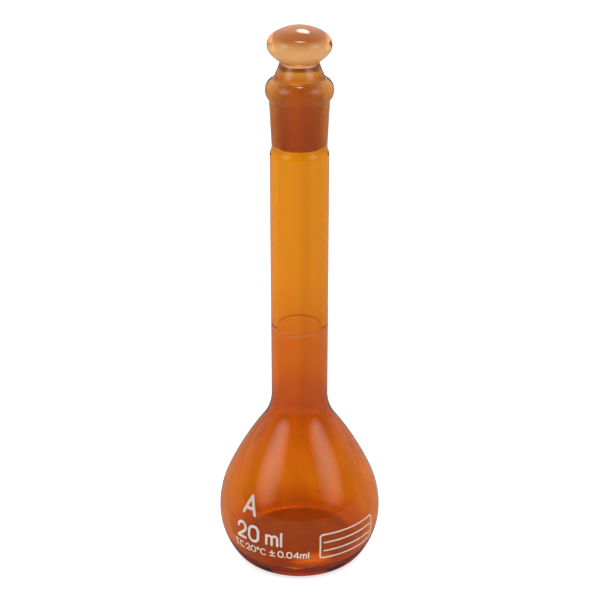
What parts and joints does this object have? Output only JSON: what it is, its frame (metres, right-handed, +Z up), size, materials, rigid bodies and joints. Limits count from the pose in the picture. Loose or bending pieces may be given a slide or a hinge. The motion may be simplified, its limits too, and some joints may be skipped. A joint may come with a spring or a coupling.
{
  "type": "volumetric flask",
  "caption": "Amber glass volumetric flask: flat-based pear-shaped bulb, long narrow neck with one graduation ring, beaded ground-glass mouth and a lens-knobbed ground stopper.",
  "frame": {"origin": "middle of the base, on the surface that the flask stands on", "axes": "+Z up along the neck; the printed marks face the front, -Y"},
  "size_m": [0.0356, 0.0354, 0.1183],
  "materials": {
    "amber_glass": "clear amber borosilicate glass, ground inside the socket",
    "amber_stopper_glass": "clear amber glass with a ground plug",
    "graduation_stain": "etched ring filled with pale stain",
    "white_enamel": "fired white enamel"
  },
  "bodies": {
    "flask": {"flask_body": "amber_glass", "graduation_ring": "graduation_stain", "class_mark": "white_enamel", "capacity_mark": "white_enamel", "calibration_mark": "white_enamel", "tolerance_mark": "white_enamel", "writing_panel": "white_enamel"},
    "stopper": {"stopper": "amber_stopper_glass"}
  },
  "joints": [
    {"name": "stopper_lift", "type": "slide", "parent": "flask", "child": "stopper", "axis": [0, 0, 1], "range_m": [0, 0.04]}
  ]
}
